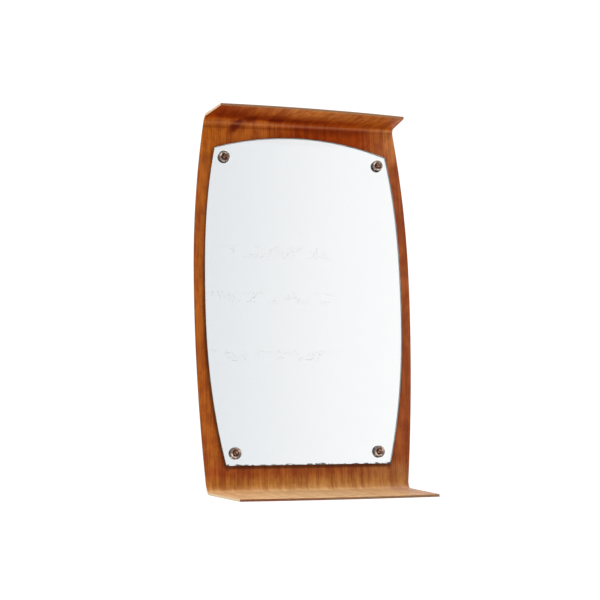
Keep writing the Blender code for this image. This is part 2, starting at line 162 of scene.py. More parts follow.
def cloud(tree, place, size_mm, detail):
    """Even noise with lumps of about the given size."""
    noise = add(tree, "TexNoise", {"Vector": place, "Scale": 1 / (size_mm * MM), "Detail": detail})
    return noise.outputs["Fac"]


def bumps(tree, height, strength, depth_mm):
    inputs = {"Height": height, "Strength": strength, "Distance": depth_mm * MM}
    return add(tree, "Bump", inputs).outputs[0]


# %% [markdown]
# ## Following the sheet round its bends
# Veneer is peeled or sliced flat and then bent, so its grain runs up the panel and straight on through
# the bends to the front edges. A texture that only knew up and down would smear on the shelf. So the
# grain is drawn over two lengths measured on the sheet: across it, and along it. Along the panel that
# length is the height. Past a bend it also grows with the distance out from the face.

# %% Helper: lengths across and along the sheet
TURNOVER = 0.1


def along_sheet(tree, place):
    """The two lengths, and the plain X, Y and Z. The sign changes over within 0.1 m of the middle."""
    axes = split(tree, place)
    side = maths(tree, "MINIMUM", times(tree, axes["Z"], 1 / TURNOVER), 1.0)
    side = maths(tree, "MAXIMUM", side, -1.0)
    out = maths(tree, "SUBTRACT", FACE_Y, axes["Y"])
    along = maths(tree, "ADD", axes["Z"], times(tree, side, out))
    return axes["X"], along, axes


def grain(tree, across, along, width_mm, length_mm, shift=0.0, detail=3.0, roughness=0.55):
    """Noise drawn out along the grain: width and length are those of one streak."""
    x = times(tree, across, 1 / (width_mm * MM))
    y = times(tree, along, 1 / (length_mm * MM))
    at = add(tree, "CombineXYZ", {0: x, 1: y, 2: shift}).outputs[0]
    noise = add(tree, "TexNoise", {"Vector": at, "Scale": 1.0, "Detail": detail, "Roughness": roughness})
    return noise.outputs["Fac"]


def ramp(tree, value, *stops):
    """A colour ramp from (position, colour) stops."""
    made = add(tree, "ValToRGB", {0: value})
    elements = made.color_ramp.elements
    while len(elements) < len(stops):
        elements.new(1.0)
    for element, (position, shade) in zip(elements, stops):
        element.position = position
        element.color = colour(shade) if isinstance(shade, str) else (shade, shade, shade, 1)
    return made.outputs["Color"]


def blend(tree, factor, below, above, way="MIX"):
    inputs = {MIX_FACTOR: factor, MIX_A: below, MIX_B: above}
    return add(tree, "Mix", inputs, data_type="RGBA", blend_type=way).outputs[MIX_OUT]


def between(tree, value, low, high, to_low=0.0, to_high=1.0):
    """Takes a value from one range to another with soft ends."""
    inputs = {"Value": value, "From Min": low, "From Max": high, "To Min": to_low, "To Max": to_high}
    return add(tree, "MapRange", inputs, interpolation_type="SMOOTHSTEP").outputs[0]


# %% [markdown]
# ## Teak veneer, oiled and decades old
# Sliced teak shows broad bands of growth 10 to 30 mm wide and streaks of a few millimetres. Its fibres
# are finer still, but a thinner streak vanishes at this distance, so the finest layer is drawn 2.4 mm
# wide. Four layers of stretched noise add up to one number, 0 for dark wood and 1 for pale.

# %% Teak: the figure of the wood
LAYERS = (
    # width and length of a streak in mm, share of the sum
    (20, 420, 0.24), (6, 200, 0.22), (2.4, 60, 0.30), (15, 24, 0.24),
)


def teak_figure(tree, across, along, shift):
    total = 0.0
    for number, (width, length, share) in enumerate(LAYERS):
        layer = grain(tree, across, along, width, length, shift + 5 * number, roughness=0.6)
        total = maths(tree, "ADD", times(tree, layer, share), total)
    return between(tree, total, 0.40, 0.60)


# %% [markdown]
# The sheet has aged unevenly. The panel is a deep orange brown. Under the canopy the panel is painted
# paler to the left, as painted light, and darker and redder in the middle and to the right, as the
# canopy's painted shade. The underside of the canopy goes from dark red in the bend to orange at the
# front, painted lighter than the wood to stand in for light from below. The shelf, lit from above and
# wiped for years, has bleached to tan. Each tone below is a ramp across the sheet, from its left edge to
# its right.

# %% Teak: the tones of the sheet
PANEL = ((0.0, "#975210"), (0.5, "#9A5414"), (0.95, "#884619"))
LOW_PANEL = ((0.15, "#924508"), (0.35, "#974F14"), (0.60, "#96511A"), (0.97, "#986437"))
# Under the canopy: paler at the left as painted light, darker and redder further right as the canopy's
# painted shade
HIGH_PANEL_PAINTED_LIGHT_AND_SHADE = ((0.05, "#B06418"), (0.30, "#B46627"), (0.48, "#9C4203"), (0.78, "#9A4203"), (0.97, "#A9713F"))
BEND = ((0.05, "#A04208"), (0.50, "#9C4208"), (0.70, "#A2480C"), (0.95, "#B7661E"))
# The canopy's underside is painted lighter than the wood, towards orange at the front, as painted light from
# below
CANOPY_FRONT_PAINTED_LIGHT = ((0.08, "#983802"), (0.25, "#B05D1B"), (0.50, "#C97A30"), (0.75, "#B86C2C"), (0.95, "#B06014"))
LOW_BEND = ((0.10, "#AC702A"), (0.50, "#AE7A3E"), (0.90, "#A36F38"))
SHELF = ((0.15, "#E0B484"), (0.40, "#DAB484"), (0.78, "#D3A87A"), (0.91, "#C0957A"))
# Heights in metres from which each tone begins, and at which it has taken over
UPPER_PART, LOWER_PART = (0.250, 0.300), (-0.250, -0.300)
TO_HIGH_PANEL_PAINTED_LIGHT_AND_SHADE, TO_LOW_PANEL, TO_LOW_BEND = (0.250, 0.290), (-0.280, -0.300), (-0.300, -0.322)
# The same for distances out from the face
TO_BEND, TO_CANOPY_FRONT_PAINTED_LIGHT, TO_SHELF = (0.000, 0.012), (0.020, 0.078), (-0.001, 0.010)
RAMP_WIDTH = 0.400


def teak_tone(tree, across, axes):
    """The tone before the figure is laid over it, and how far each point counts as shelf."""
    place = maths(tree, "MULTIPLY_ADD", across, 1 / RAMP_WIDTH, 0.5)
    out = maths(tree, "SUBTRACT", FACE_Y, axes["Y"])
    upper = between(tree, axes["Z"], *UPPER_PART)
    lower = between(tree, axes["Z"], *LOWER_PART)
    on_shelf = times(tree, lower, between(tree, out, *TO_SHELF))
    tone = ramp(tree, place, *PANEL)
    for share, stops in (
        (between(tree, axes["Z"], *TO_LOW_PANEL), LOW_PANEL),
        (between(tree, axes["Z"], *TO_HIGH_PANEL_PAINTED_LIGHT_AND_SHADE), HIGH_PANEL_PAINTED_LIGHT_AND_SHADE),
        (times(tree, upper, between(tree, out, *TO_BEND)), BEND),
        (times(tree, upper, between(tree, out, *TO_CANOPY_FRONT_PAINTED_LIGHT)), CANOPY_FRONT_PAINTED_LIGHT),
        (between(tree, axes["Z"], *TO_LOW_BEND), LOW_BEND),
        (on_shelf, SHELF),
    ):
        tone = blend(tree, share, tone, ramp(tree, place, *stops))
    return tone, on_shelf


# %% [markdown]
# Damp and hands left dark spots in and near the upper bend, and one knot runs through it. Where the
# bend starts a dark line is painted in as shadow, with a pale line beside it as a painted highlight.
# Painted shade also darkens the panel under the foot of the mirror and along its two long sides. Dirt has
# also gathered in the gap under the foot of the mirror and along its two long sides.
# The half width of the mirror falls from its middle to its foot as a power of the height, and the same
# sum gives the distance from its side here.

# %% Teak: spots and lines
OUTLINE_POWER = 2.38
# Heights along the sheet of the painted shadow line and the painted highlight line
SHADOW_LINE_PAINTED, HIGHLIGHT_LINE_PAINTED = (0.3180, 0.3205), (0.3255, 0.3285)
LINE_SLOPE = 0.03
# Heights between which the painted shade along the long sides of the mirror reaches
SIDE_SHADE_PAINTED = (-0.295, 0.265)
SPOTS = (
    # across, along, half width, half length in mm, how far it leans, strength
    (-96, 343, 12, 17, 0.0, 0.85), (-50, 343, 20, 10, 0.0, 0.85), (-120, 322, 9, 16, 0.55, 0.95),
    (-135, 368, 40, 22, 0.0, 0.45), (-12, 345, 32, 10, 0.0, 0.50), (55, 322, 70, 10, 0.0, 0.40),
    (-70, 358, 38, 15, 0.0, 0.35), (-190, -97, 18, 24, 0.0, 0.30),
)


def teak_spots(tree, across, along, ragged):
    """Soft dark spots with edges pulled about by the grain."""
    dark = 0.0
    for x, up, half_width, half_length, lean, strength in SPOTS:
        dy = maths(tree, "ADD", along, -up * MM)
        dx = maths(tree, "ADD", maths(tree, "MULTIPLY_ADD", dy, -lean, across), -x * MM)
        dx, dy = times(tree, dx, 1 / (half_width * MM)), times(tree, dy, 1 / (half_length * MM))
        at = add(tree, "CombineXYZ", {0: dx, 1: dy, 2: ragged}).outputs[0]
        far = add(tree, "VectorMath", {0: at}, operation="LENGTH").outputs["Value"]
        spot = between(tree, far, 1.50, 0.50, 0.0, strength)
        dark = maths(tree, "MAXIMUM", dark, spot)
    return dark


def strip(tree, value, start, end, soft):
    """One inside the strip from start to end, with soft sides."""
    return times(tree, between(tree, value, start - soft, start), between(tree, value, end + soft, end))


def teak_marks(tree, wood, across, along, axes, figure):
    ragged = maths(tree, "ADD", figure, -0.5)
    spots = teak_spots(tree, across, along, times(tree, ragged, 0.8))
    wood = blend(tree, spots, wood, colour("#5E1201"))
    tilted = maths(tree, "MULTIPLY_ADD", across, -LINE_SLOPE, along)
    # A dark line painted where the bend starts, as shadow, and a pale one beside it, as a painted highlight
    painted_shadow_line = strip(tree, tilted, *SHADOW_LINE_PAINTED, 1.5 * MM)
    wood = blend(tree, times(tree, painted_shadow_line, 0.34), wood, colour("#5A2003"))
    painted_highlight_line = strip(tree, tilted, *HIGHLIGHT_LINE_PAINTED, 3.0 * MM)
    wood = blend(tree, times(tree, painted_highlight_line, 0.16), wood, colour("#D89460"))
    # Painted shade: a dark strip under the foot of the mirror and along its long sides
    under = strip(tree, axes["Z"], pane_low.z - 4 * MM, pane_low.z + 3 * MM, 3 * MM)
    under = times(tree, under, strip(tree, across, -FOOT_HALF, FOOT_HALF, 3 * MM))
    bulge = maths(tree, "ABSOLUTE", times(tree, axes["Z"], 1 / pane_low.z))
    bulge = maths(tree, "POWER", bulge, OUTLINE_POWER)
    half = maths(tree, "MULTIPLY_ADD", bulge, FOOT_HALF - pane_high.x, pane_high.x)
    past_side = maths(tree, "SUBTRACT", maths(tree, "ABSOLUTE", across), half)
    painted_shade_beside = strip(tree, past_side, -2 * MM, 1.5 * MM, 3 * MM)
    painted_shade_beside = times(tree, painted_shade_beside, strip(tree, axes["Z"], *SIDE_SHADE_PAINTED, 5 * MM))
    painted_shade_round_pane = maths(tree, "MAXIMUM", under, times(tree, painted_shade_beside, 0.75))
    return blend(tree, times(tree, painted_shade_round_pane, 0.62), wood, colour("#401602"))


# %% [markdown]
# Oil has soaked in, so the face is satin and gives back little of the room: its reflection is kept low.
# Open pores show as short dark dashes, a little sunk, and the fibres stand proud of them. The sawn side
# edges of the canopy and shelf never saw the oil, and stayed pale.

# %% Teak: the finished material
SAWN_HEIGHT = (0.320, 0.328)


def teak_veneer(name, shift, aged):
    material, tree, place = begin(name)
    across, along, axes = along_sheet(tree, place)
    figure = teak_figure(tree, across, along, shift)
    wood, on_shelf = teak_tone(tree, across, axes) if aged else (colour("#94562A"), 0.0)
    grained = ramp(tree, figure, (0.05, "#C8A488"), (0.45, "#DFCEB8"), (0.95, "#FFF8EA"))
    depth = maths(tree, "MULTIPLY_ADD", on_shelf, -0.5, 1.0)
    wood = blend(tree, depth, wood, grained, "MULTIPLY")
    if aged:
        wood = teak_marks(tree, wood, across, along, axes, figure)
    sideways = maths(tree, "ABSOLUTE", facing(tree)["X"])
    height = maths(tree, "ABSOLUTE", axes["Z"])
    sawn = times(tree, between(tree, sideways, 0.60, 0.90), between(tree, height, *SAWN_HEIGHT))
    wood = blend(tree, times(tree, sawn, 0.85), wood, colour("#E9C69A"))
    pore = grain(tree, across, along, 0.7, 9, shift + 27, detail=1)
    pores = between(tree, pore, 0.60, 0.72)
    wood = blend(tree, times(tree, pores, 0.35), wood, colour("#4A2008"))
    gloss = between(tree, figure, 0.0, 1.0, 0.56, 0.44)
    relief = maths(tree, "ADD", times(tree, figure, 0.5), times(tree, pores, -0.8))
    finish_with(tree, {
        "Base Color": wood, "Roughness": gloss, "Specular IOR Level": 0.10,
        "Normal": bumps(tree, relief, 0.30, 0.12),
    })
    print(name, "has", len(tree.nodes), "nodes")
    return material


teak_face = teak_veneer("teak_veneer_oiled_and_aged", 0.0, aged=True)
teak_back = teak_veneer("teak_veneer_back", 40.0, aged=False)


# %% [markdown]
# ## Birch plies, sawn and sanded
# Plywood crosses its grain from ply to ply, so in the sawn edge one ply shows its long fibres and the
# next its end grain, which drinks stain and looks darker. The side edges of the canopy and shelf are
# still the cream of birch. The front edges and the long edges of the panel have been handled for
# decades and are grey brown, redder at the left of the shelf.

# %% Birch: one material for each way the grain lies
# Fibres in mm, the rest in metres
FIBRE_WIDTH, LONG_FIBRE, END_FIBRE = 0.35, 30, 1.2
PANEL_EDGE = 0.318
GREYER_ABOVE, GREYER_TO_RIGHT = (-0.2, 0.2), (-0.11, 0.05)


def birch_ply(name, shift, end_grain):
    material, tree, place = begin(name)
    across, along, axes = along_sheet(tree, place)
    length = END_FIBRE if end_grain else LONG_FIBRE
    fibre = grain(tree, axes["Y"], along, FIBRE_WIDTH, length, shift)
    clean = ramp(tree, fibre, (0.30, "#E6C08E"), (0.55, "#F7DDB6"), (0.80, "#FBEAD0"))
    if end_grain:
        clean = blend(tree, 0.20, clean, colour("#CE9A64"))
    to_front = between(tree, facing(tree)["Y"], -0.45, -0.80)
    panel = strip(tree, axes["Z"], -PANEL_EDGE, PANEL_EDGE, 7 * MM)
    shelf_grime = ramp(tree, fibre, (0.30, "#552C1A"), (0.85, "#84492F"))
    canopy_grime = ramp(tree, fibre, (0.30, "#5C432C"), (0.85, "#856749"))
    above, to_right = between(tree, axes["Z"], *GREYER_ABOVE), between(tree, across, *GREYER_TO_RIGHT)
    grime = blend(tree, maths(tree, "MAXIMUM", above, to_right), shelf_grime, canopy_grime)
    handled = maths(tree, "MAXIMUM", to_front, times(tree, panel, 0.75))
    wood = blend(tree, handled, clean, grime)
    finish_with(tree, {
        "Base Color": wood, "Roughness": 0.62, "Specular IOR Level": 0.15,
        "Normal": bumps(tree, fibre, 0.4, 0.1),
    })
    return material


birch_long = birch_ply("birch_ply_sawn_along_the_grain", 5.0, end_grain=False)
birch_end = birch_ply("birch_ply_end_grain", 9.0, end_grain=True)
print("birch:", birch_long.name, birch_end.name)


# %% [markdown]
# The film of glue between two plies is a cured resin, brown and faintly glossy, a fifth of a
# millimetre thick. It is what draws the fine dark lines along a plywood edge.

# %% Glue film
def cured_glue():
    material, tree, place = begin("resin_glue_cured")
    tone = ramp(tree, cloud(tree, place, 1.5, 2.0), (0.35, "#7A5033"), (0.65, "#9A6D48"))
    finish_with(tree, {"Base Color": tone, "Roughness": 0.45})
    return material


glue = cured_glue()


# %% [markdown]
# ## Giving a measured piece its fine edges
# A sanded or ground edge is never knife sharp: it catches a thin line of light. A copy of the measured
# mesh with its doubled points welded takes a Bevel modifier on the sharp edges only, and Weighted Normal
# keeps the broad faces flat in the light. The measured node stays, hidden, as the body for collisions.

# %% Helper: a copy of a node with eased edges
WELD = 0.01 * MM
FLAT_WITHIN = radians(0.2)


def mesh_from(bm, name):
    mesh = bpy.data.meshes.new(name)
    bm.to_mesh(mesh)
    bm.free()
    return mesh


def linked(name, data):
    made = bpy.data.objects.new(name, data)
    scene.collection.objects.link(made)
    return made


def welded_mesh(node, name):
    bm = bmesh.new()
    bm.from_mesh(frame["nodes"][node].data)
    bmesh.ops.remove_doubles(bm, verts=bm.verts, dist=WELD)
    bmesh.ops.dissolve_limit(bm, angle_limit=FLAT_WITHIN, verts=bm.verts, edges=bm.edges)
    return mesh_from(bm, name)


def set_out(name, mesh, material, stands_for=()):
    """Links a piece, gives it its finish, fixes it to the root body, and hides the nodes it stands for."""
    piece = linked(name, mesh)
    mesh.materials.clear()
    mesh.materials.append(material)
    mesh.shade_smooth()
    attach(piece, "root")
    if stands_for:
        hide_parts(*stands_for)
    return piece


def ease_edges(piece, width_mm, segments=2, sharper_than=40):
    bevel = piece.modifiers.new("eased_edges", "BEVEL")
    bevel.width = width_mm * MM
    bevel.segments = segments
    bevel.limit_method = "ANGLE"
    bevel.angle_limit = radians(sharper_than)
    level = piece.modifiers.new("level_faces", "WEIGHTED_NORMAL")
    level.keep_sharp = True


def eased_copy(name, node, material, width_mm):
    piece = set_out(name, welded_mesh(node, name), material, [node])
    ease_edges(piece, width_mm)
    return piece


# %% The five plies
face = eased_copy("teak_face_sheet", "face_veneer", teak_face, 0.12)
eased_copy("teak_back_sheet", "back_veneer", teak_back, 0.12)
for number, finish in ((1, birch_end), (2, birch_long), (3, birch_end)):
    eased_copy(f"birch_sheet_{number}", f"core_ply_{number}", finish, 0.05)
print("plies:", len(face.data.polygons), "faces on the face sheet")


# %% [markdown]
# The glue films fill the gaps that the measured plies leave between them. Each film starts as the back
# faces of the ply in front of it, found by which way they look, and gets its thickness from Solidify.
# It stops a tenth of a millimetre short of the sawn sides, as glue does once the edge is sanded.

# %% The four glue films
FILM = 0.18 * MM
SHORT_OF_SIDE = 0.9994
HOLLOW_Y, HOLLOW_HALF_HEIGHT = -0.060, 0.30
LOOKS_AWAY, LEAST_SIDEWAYS, LEAST_FORWARD = 0.35, 0.5, -0.6


def back_faces(mesh):
    """Faces that look away from the middle of the shell's hollow side, but not to its sides or front."""
    found = set()
    for side_of in mesh.polygons:
        centre, normal = side_of.center, side_of.normal
        height = max(-HOLLOW_HALF_HEIGHT, min(HOLLOW_HALF_HEIGHT, centre.z))
        away = (centre - Vector((centre.x, HOLLOW_Y, height))).normalized()
        if normal.dot(away) > LOOKS_AWAY and abs(normal.x) < LEAST_SIDEWAYS and normal.y > LEAST_FORWARD:
            found.add(side_of.index)
    return found


def glue_film(number, ply):
    mesh = welded_mesh(ply, f"glue_film_{number}")
    keep = back_faces(mesh)
    bm = bmesh.new()
    bm.from_mesh(mesh)
    bmesh.ops.delete(bm, geom=[f for f in bm.faces if f.index not in keep], context="FACES")
    for vert in bm.verts:
        vert.co.x *= SHORT_OF_SIDE
    bm.to_mesh(mesh)
    bm.free()
    piece = set_out(f"glue_film_{number}", mesh, glue)
    solid = piece.modifiers.new("thickness", "SOLIDIFY")
    solid.thickness = FILM
    solid.offset = 1
    return piece


for number, ply in enumerate(PLIES[:4], start=1):
    film = glue_film(number, ply)
    print(film.name, len(film.data.polygons), "faces, one open sheet before it is thickened")


# %% [markdown]
# ## The mirror: float glass, silvered by hand
# The pane is 4 mm clear glass. Its edge is ground, and a ground edge lets no clear ray through: it looks
# like grey green chalk, here painted darker as painted shade for the dark line round the pane. So the
# material is clear only where it faces straight forward or back.

# %% Glass
def clear_glass():
    material, tree, place = begin("float_glass_ground_edge")
    flat = maths(tree, "ABSOLUTE", facing(tree)["Y"])
    edge = between(tree, flat, 0.97, 0.80)
    # The ground edge's grey green, painted dark as shade for the outline of the pane
    chalk_and_painted_shade = ramp(tree, cloud(tree, place, 0.6, 2.0), (0.35, "#4E5A50"), (0.65, "#76827A"))
    tint = blend(tree, edge, colour("#FFFFFF"), chalk_and_painted_shade)
    clear = maths(tree, "SUBTRACT", 1.0, edge)
    finish_with(tree, {
        "Base Color": tint, "Roughness": times(tree, edge, 0.5), "IOR": 1.52, "Transmission Weight": clear,
    })
    return material


eased_copy("mirror_pane", "mirror_glass", clear_glass(), 0.45)


# %% [markdown]
# Behind the glass lies the silver, protected by paint. Damp creeps in from the edges and eats it: small
# brown chips along the foot, where water stands, and three faint rows of specks across the middle, which
# the ribs of an old packing board left behind.

# %% Silver
# Heights of the rows, half the height of one and its soft edge in mm, and their reach across in metres
SPECK_ROWS, ROW_HALF, ROW_EDGE = (-100, 4, 86), 7, 7
ROW_REACH = (-0.175, 0.030)


def old_silver():
    material, tree, place = begin("silvering_with_age_spots")
    axes = split(tree, place)
    speck = grain(tree, axes["X"], axes["Z"], 3.2, 2.6, 3.0, detail=2)
    foot_chip = grain(tree, axes["X"], axes["Z"], 11, 4, 9.0, detail=4)
    near_foot = between(tree, axes["Z"], pane_low.z + 5 * MM, pane_low.z + 0.5 * MM, 0.0, 0.28)
    chance = maths(tree, "ADD", foot_chip, near_foot)
    chips = between(tree, chance, 0.74, 0.79)
    rows = 0.0
    for z in SPECK_ROWS:
        row = strip(tree, axes["Z"], (z - ROW_HALF) * MM, (z + ROW_HALF) * MM, ROW_EDGE * MM)
        rows = maths(tree, "MAXIMUM", rows, row)
    rows = times(tree, rows, strip(tree, axes["X"], *ROW_REACH, 40 * MM))
    patch = between(tree, grain(tree, axes["X"], axes["Z"], 30, 24, 5.0, detail=1), 0.46, 0.54)
    faint = times(tree, between(tree, speck, 0.54, 0.64), times(tree, rows, patch))
    tone = blend(tree, times(tree, faint, 0.34), colour("#F8F8F8"), colour("#B4A898"))
    tone = blend(tree, chips, tone, colour("#4A3A30"))
    bright = maths(tree, "SUBTRACT", 1.0, chips)
    rough = maths(tree, "ADD", times(tree, chips, 0.6), 0.02)
    finish_with(tree, {"Base Color": tone, "Metallic": bright, "Roughness": rough})
    return material


def assign(node, material):
    """Gives a measured node that is already the right shape its finish."""
    for slot in frame["nodes"][node].material_slots:
        slot.material = material
    print("finish:", node, "->", material.name)


assign("silver_coat", old_silver())

# %% [markdown]
# The mirror would show the underside of the canopy as a brown band along its top. The room in it should
# read as plain and bright, so the sheets are left out of what is seen through glass. They still shade
# the panel, and still show in the metal and in the faint reflection on the front of the glass.

# %% Keep the sheets out of the mirror
SHEETS = [obj for obj in scene.objects if "_sheet" in obj.name or obj.name.startswith("glue_film")]
for sheet in SHEETS:
    sheet.visible_transmission = False
print("left out of the mirror:", [sheet.name for sheet in SHEETS])

# %% [markdown]
# ## Turned pieces
# Washers, screws and pads are round, so each is a half section turned about its own axis. The section
# is a list of (radius, height) points, with arcs worked out by a formula, and its height runs from the
# surface that the piece stands on. Sixty-four steps round is smooth at any distance a person looks from.

# %% Helper: turn a section
ROUND = 64


def turned_mesh(name, section, at, way, closed=False):
    """way is 1 where the height runs towards the wall, -1 where it runs away from it."""
    bm = bmesh.new()
    rings = []
    for radius, height in section:
        y = at.y + way * height
        if radius < 1e-9:
            rings.append([bm.verts.new((at.x, y, at.z))])
            continue
        turns = (tau * step / ROUND for step in range(ROUND))
        rings.append([bm.verts.new((at.x + radius * cos(t), y, at.z + radius * sin(t))) for t in turns])
    pairs = list(zip(rings, rings[1:]))
    if closed:
        pairs.append((rings[-1], rings[0]))
    for one, other in pairs:
        for step in range(ROUND):
            after = (step + 1) % ROUND
            corners = [one[step % len(one)], one[after % len(one)]]
            corners += [other[after % len(other)], other[step % len(other)]]
            bm.faces.new(list(dict.fromkeys(corners)))
    bmesh.ops.recalc_face_normals(bm, faces=bm.faces)
    return mesh_from(bm, name)


def arc(centre, radii, start, end, steps):
    """Points on an ellipse in the (radius, height) section, angles in degrees."""
    turns = (radians(start + (end - start) * step / steps) for step in range(steps + 1))
    return [(centre[0] + radii[0] * cos(t), centre[1] + radii[1] * sin(t)) for t in turns]


def middle(node):
    """The centre and the size of a node's box."""
    low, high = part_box(node)
    return (low + high) / 2, (high - low)


def end_of(centre, size, way):
    """The middle of the box's side towards the wall (1) or away from it (-1)."""
    return Vector((centre.x, centre.y + way * size.y / 2, centre.z))


def crisp(mesh, angle=32):
    mesh.shade_smooth()
    mesh.set_sharp_from_angle(angle=radians(angle))


# %% [markdown]
# ## Cup washers: pressed brass, nickelled, worn brown
# A cup washer is pressed from 0.8 mm sheet. Its rim rolls down to the glass and its crown is round. From
# the crown a shallow dish slopes in to the cone that takes the head of the screw. The dish is what
# catches the side light as a bright crescent. The nickel has dulled to grey brown, and it is darker lower
# down, towards the glass: partly dirt in the hollow, partly painted shade.

# %% Aged nickel
def worn_metal(name, bright, dull, dirt_and_shade_tone, spot_mm, rough, dirt_and_shade_depths=None):
    """Metal with cloudy wear. The last argument gives two heights in Y: clean at the first, and at the second
    darkened to the dark tone, as dirt and painted shade.
    """
    material, tree, place = begin(name)
    wear = cloud(tree, place, spot_mm, 4.0)
    fine = cloud(tree, place, 0.5, 3.0)
    hollows = between(tree, add(tree, "NewGeometry").outputs["Pointiness"], 0.50, 0.44)
    tone = ramp(tree, wear, (0.35, dull), (0.65, bright))
    tone = blend(tree, hollows, tone, colour(dirt_and_shade_tone))
    tone = blend(tree, times(tree, between(tree, fine, 0.58, 0.70), 0.5), tone, colour(dirt_and_shade_tone))
    if dirt_and_shade_depths:
        height = split(tree, place)["Y"]
        tone = blend(tree, between(tree, height, *dirt_and_shade_depths, 0.0, 0.85), tone, colour(dirt_and_shade_tone))
    gloss = between(tree, wear, 0.3, 0.7, rough + 0.12, rough)
    finish_with(tree, {
        "Base Color": tone, "Metallic": 1.0, "Roughness": gloss, "Normal": bumps(tree, fine, 0.25, 0.05),
    })
    return material


crown_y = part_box("cup_washer_upper_left")[0].y
dome_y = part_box("mirror_screw_upper_left")[0].y
# In the cup, darker towards the glass: dirt in the hollow, and painted shade round the head and at the foot
cup_dirt_and_shade_depths = (crown_y + 1.3 * MM, crown_y + 3.4 * MM)
# On the head, the rim of the dome is painted darker than its middle, as painted shade
head_painted_shade_depths = (dome_y + 0.2 * MM, dome_y + 1.3 * MM)
nickel = worn_metal("nickelled_brass_worn", "#8C7F77", "#685C55", "#2E1C12", 4.0, 0.22, cup_dirt_and_shade_depths)
brass = worn_metal("slotted_brass_head_darkened", "#8A6654", "#5C3C2E", "#1E0E08", 3.0, 0.30, head_painted_shade_depths)
zinc = worn_metal("zinc_plated_steel_dull", "#A8A9A6", "#969794", "#6E6C66", 9.0, 0.38)


# %% Cup washers
SHEET = 0.8 * MM
CUP_SEAT_RADIUS = 2.6 * MM
CROWN_INSET = 1.9 * MM
DISH_FOOT = (5.25 * MM, 2.62 * MM)
RIM_FOOT, RIM_RISE = 0.22, 0.78


def cup_section(radius, height):
    """Round the sheet once: up the rim, down the dish to the seat, and back underneath."""
    crown = radius - CROWN_INSET
    rim = arc((crown, RIM_FOOT * height), (CROWN_INSET, RIM_RISE * height), 0, 90, 10)
    brow = [(crown - 0.3 * MM, height - 0.03 * MM), (crown - 0.7 * MM, height - 0.12 * MM), DISH_FOOT]
    seat = [(CUP_SEAT_RADIUS + 0.3 * MM, SHEET * 1.1), (CUP_SEAT_RADIUS, SHEET * 0.8), (CUP_SEAT_RADIUS, 0)]
    under = [(DISH_FOOT[0] - 0.3 * MM, DISH_FOOT[1] - SHEET), (crown - 0.5 * MM, height - SHEET)]
    inner_rim = arc((crown, RIM_FOOT * height), (CROWN_INSET - SHEET, RIM_RISE * height - SHEET), 80, 0, 6)
    foot = [(radius - SHEET, 0), (radius, 0)]
    return rim + brow + seat + under + inner_rim + foot


for corner in CORNERS:
    centre, size = middle("cup_washer_" + corner)
    section = cup_section(size.x / 2, size.y)
    mesh = turned_mesh("cup_" + corner, section, end_of(centre, size, 1), -1, closed=True)
    crisp(mesh)
    set_out("cup_" + corner, mesh, nickel, ["cup_washer_" + corner])
print("cup washers:", round(size.x / MM, 1), "mm across,", round(size.y / MM, 1), "mm high")


# %% [markdown]
# ## Slotted screws
# A raised countersunk head has a shallow dome, cut by a saw slot. The dome is turned, and the slot is
# a thin box taken away by an exact Boolean, as a slitting saw does it. Each screw was stopped at its
# own angle. The end behind the nut shows its thread as grooves.

# %% Screws
HEAD_RADIUS = 5.0 * MM
DOME, DOME_RINGS = 1.4 * MM, 8
HEAD_EDGE = 0.12 * MM
CONE = 2.6 * MM
SHANK_RADIUS = 2.0 * MM
SLOT_WIDTH, SLOT_DEPTH = 1.1 * MM, 1.3 * MM
SLOT_TURN = {"upper_left": 32, "upper_right": -14, "lower_left": 68, "lower_right": 20}
THREAD_PITCH = 0.7 * MM
THREAD_DEPTH = 0.28 * MM
THREADED = 7.0 * MM


def screw_section(length):
    """From the top of the dome down to the end of the shank."""
    ball = (HEAD_RADIUS**2 + DOME**2) / (2 * DOME)
    outs = (HEAD_RADIUS * ring / DOME_RINGS for ring in range(DOME_RINGS + 1))
    dome = [(out, length - ball + sqrt(ball**2 - out**2)) for out in outs]
    neck = length - DOME - CONE
    points = dome + [(HEAD_RADIUS, length - DOME - HEAD_EDGE), (SHANK_RADIUS, neck)]
    height = THREADED
    while height > THREAD_PITCH:
        points += [(SHANK_RADIUS, height), (SHANK_RADIUS - THREAD_DEPTH, height - THREAD_PITCH / 2)]
        height -= THREAD_PITCH
    return points + [(SHANK_RADIUS - THREAD_DEPTH, 0), (0, 0)]


def saw_blade(length, width, depth, at, turn):
    """A box for cutting a slot, set across the top of a head and turned by an angle in degrees."""
    bm = bmesh.new()
    bmesh.ops.create_cube(bm, size=1, matrix=Matrix.Diagonal((length, 2 * depth, width, 1)))
    blade = linked("saw", mesh_from(bm, "saw"))
    blade.matrix_world = Matrix.Translation(at) @ Matrix.Rotation(radians(turn), 4, "Y")
    return blade


def carve(mesh, cutter, way="DIFFERENCE"):
    """Returns the mesh after a Boolean with the cutter, which is then thrown away."""
    blank = linked("blank", mesh)
    modifier = blank.modifiers.new("carve", "BOOLEAN")
    modifier.operation = way
    modifier.solver = "EXACT"
    modifier.object = cutter
    graph = bpy.context.evaluated_depsgraph_get()
    carved = bpy.data.meshes.new_from_object(blank.evaluated_get(graph))
    bpy.data.objects.remove(blank)
    bpy.data.objects.remove(cutter)
    return carved


for corner in CORNERS:
    centre, size = middle("mirror_screw_" + corner)
    blank = turned_mesh("screw_" + corner, screw_section(size.y), end_of(centre, size, 1), -1)
    saw = saw_blade(3 * HEAD_RADIUS, SLOT_WIDTH, SLOT_DEPTH, end_of(centre, size, -1), SLOT_TURN[corner])
    mesh = carve(blank, saw)
    crisp(mesh)
    set_out("screw_" + corner, mesh, brass, ["mirror_screw_" + corner])
print("screws:", round(size.y / MM, 1), "mm long over all,", len(mesh.polygons), "faces each")


